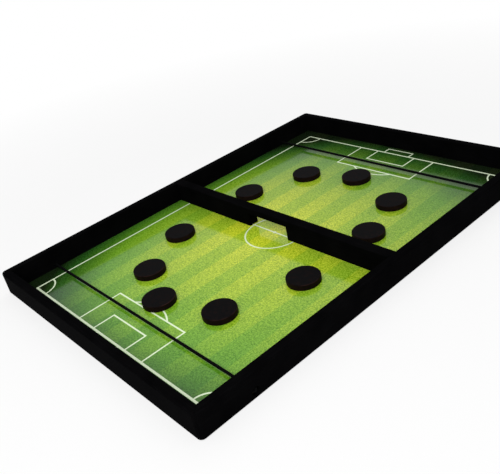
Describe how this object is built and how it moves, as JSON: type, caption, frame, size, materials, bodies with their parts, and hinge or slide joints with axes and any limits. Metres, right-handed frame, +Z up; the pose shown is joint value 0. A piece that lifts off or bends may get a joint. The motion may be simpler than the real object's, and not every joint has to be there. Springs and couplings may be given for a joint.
{
  "type": "football sling board",
  "caption": "Flat rectangular sling-puck board: black mitred frame, printed football field, divider with one gate, elastic cord across each end and loose black pucks.",
  "frame": {"origin": "middle of the board's underside, where it rests on the table", "axes": "+Y runs from the near player's end to the far player's end, +X to the near player's right, +Z up"},
  "size_m": [0.3, 0.42, 0.0225],
  "materials": {
    "frame_paint": "satin black paint on wood",
    "board": "plain brown fibreboard",
    "field_print": "glossy laminated print, green stripes with white lines",
    "puck": "satin black lacquer on wood",
    "cord": "black elastic with a woven cover",
    "screw": "zinc plated",
    "pin": "bright drawn steel"
  },
  "bodies": {
    "board": {"base_board": "board", "field_sheet": "field_print", "side_rail_left": "frame_paint", "side_rail_right": "frame_paint", "end_rail_near": "frame_paint", "end_rail_far": "frame_paint", "divider": "frame_paint", "divider_screws": "screw", "board_pins": "pin", "knot_near_left": "cord", "knot_near_right": "cord", "knot_far_left": "cord", "knot_far_right": "cord"},
    "sling_near_left": {"sling_near_left": "cord"},
    "sling_near_right": {"sling_near_right": "cord"},
    "sling_far_left": {"sling_far_left": "cord"},
    "sling_far_right": {"sling_far_right": "cord"},
    "puck_near_1": {"puck_near_1": "puck"},
    "puck_near_2": {"puck_near_2": "puck"},
    "puck_near_3": {"puck_near_3": "puck"},
    "puck_near_4": {"puck_near_4": "puck"},
    "puck_near_5": {"puck_near_5": "puck"},
    "puck_far_1": {"puck_far_1": "puck"},
    "puck_far_2": {"puck_far_2": "puck"},
    "puck_far_3": {"puck_far_3": "puck"},
    "puck_far_4": {"puck_far_4": "puck"},
    "puck_far_5": {"puck_far_5": "puck"}
  },
  "joints": [
    {"name": "sling_near_left_swing", "type": "hinge", "parent": "board", "child": "sling_near_left", "pos_m": [-0.1404, -0.1605, 0.0055], "axis": [0, 0, -1], "range_deg": [0, 16], "stiffness_Nm_per_rad": 0.5},
    {"name": "sling_near_right_swing", "type": "hinge", "parent": "board", "child": "sling_near_right", "pos_m": [0.1404, -0.1605, 0.0055], "axis": [0, 0, 1], "range_deg": [0, 16], "stiffness_Nm_per_rad": 0.5},
    {"name": "sling_far_left_swing", "type": "hinge", "parent": "board", "child": "sling_far_left", "pos_m": [-0.1404, 0.1555, 0.0055], "axis": [0, 0, 1], "range_deg": [0, 18], "stiffness_Nm_per_rad": 0.5},
    {"name": "sling_far_right_swing", "type": "hinge", "parent": "board", "child": "sling_far_right", "pos_m": [0.1404, 0.1555, 0.0055], "axis": [0, 0, -1], "range_deg": [0, 18], "stiffness_Nm_per_rad": 0.5},
    {"name": "puck_near_1_slide", "type": "slide", "parent": "board", "child": "puck_near_1", "axis": [0, 1, 0], "range_m": [-0.045, 0.032]},
    {"name": "puck_near_2_slide", "type": "slide", "parent": "board", "child": "puck_near_2", "axis": [0.3872, 0.922, 0], "range_m": [-0.033, 0.206]},
    {"name": "puck_near_3_slide", "type": "slide", "parent": "board", "child": "puck_near_3", "axis": [-0.0022, 1, 0], "range_m": [-0.008, 0.205]},
    {"name": "puck_near_4_slide", "type": "slide", "parent": "board", "child": "puck_near_4", "axis": [-0.4527, 0.8917, 0], "range_m": [-0.03, 0.2]},
    {"name": "puck_near_5_slide", "type": "slide", "parent": "board", "child": "puck_near_5", "axis": [0, 1, 0], "range_m": [-0.045, 0.024]},
    {"name": "puck_far_1_slide", "type": "slide", "parent": "board", "child": "puck_far_1", "axis": [0, -1, 0], "range_m": [-0.04, 0.02]},
    {"name": "puck_far_2_slide", "type": "slide", "parent": "board", "child": "puck_far_2", "axis": [0.4427, -0.8967, 0], "range_m": [-0.038, 0.194]},
    {"name": "puck_far_3_slide", "type": "slide", "parent": "board", "child": "puck_far_3", "axis": [-0.0348, -0.9994, 0], "range_m": [-0.017, 0.205]},
    {"name": "puck_far_4_slide", "type": "slide", "parent": "board", "child": "puck_far_4", "axis": [-0.5894, -0.8078, 0], "range_m": [-0.05, 0.192]},
    {"name": "puck_far_5_slide", "type": "slide", "parent": "board", "child": "puck_far_5", "axis": [0, -1, 0], "range_m": [-0.028, 0.017]}
  ],
  "couplings": [
    {"joint": "sling_near_right_swing", "follows": "sling_near_left_swing", "ratio": 1},
    {"joint": "sling_far_right_swing", "follows": "sling_far_left_swing", "ratio": 1}
  ]
}
